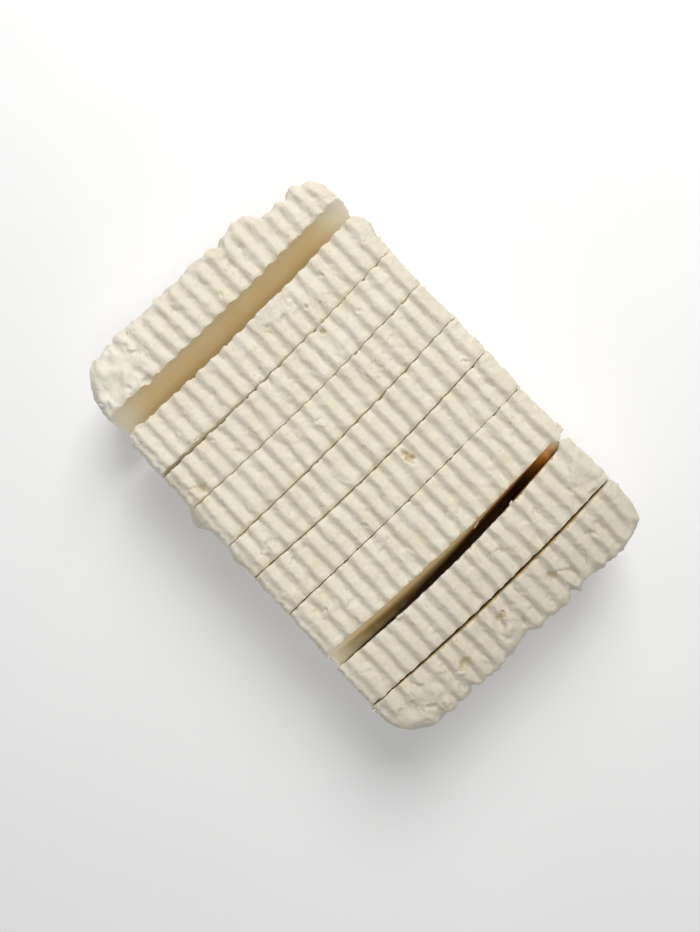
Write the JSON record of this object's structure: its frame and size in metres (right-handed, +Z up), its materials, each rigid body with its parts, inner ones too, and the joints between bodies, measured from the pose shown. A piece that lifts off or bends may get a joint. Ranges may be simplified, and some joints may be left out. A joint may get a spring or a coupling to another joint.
{
  "type": "halloumi",
  "caption": "Ridged block of halloumi cut across into slices that still lie in the block's shape, with an open gap near each end.",
  "frame": {"origin": "on the surface that the block lies on, under the middle of the block's outline", "axes": "+Z up; +Y along the block and its ridges, towards its first slice; +X across the ridges"},
  "size_m": [0.0827, 0.1252, 0.0281],
  "materials": {
    "cheese": "moist creamy white pressed curd, ridged by its mould; cut faces are smoother and yellower"
  },
  "bodies": {
    "root": {"slice_1": "cheese", "slice_2": "cheese", "slice_3": "cheese", "slice_4": "cheese", "slice_5": "cheese", "slice_6": "cheese", "slice_7": "cheese", "slice_8": "cheese", "slice_9": "cheese"}
  },
  "joints": []
}
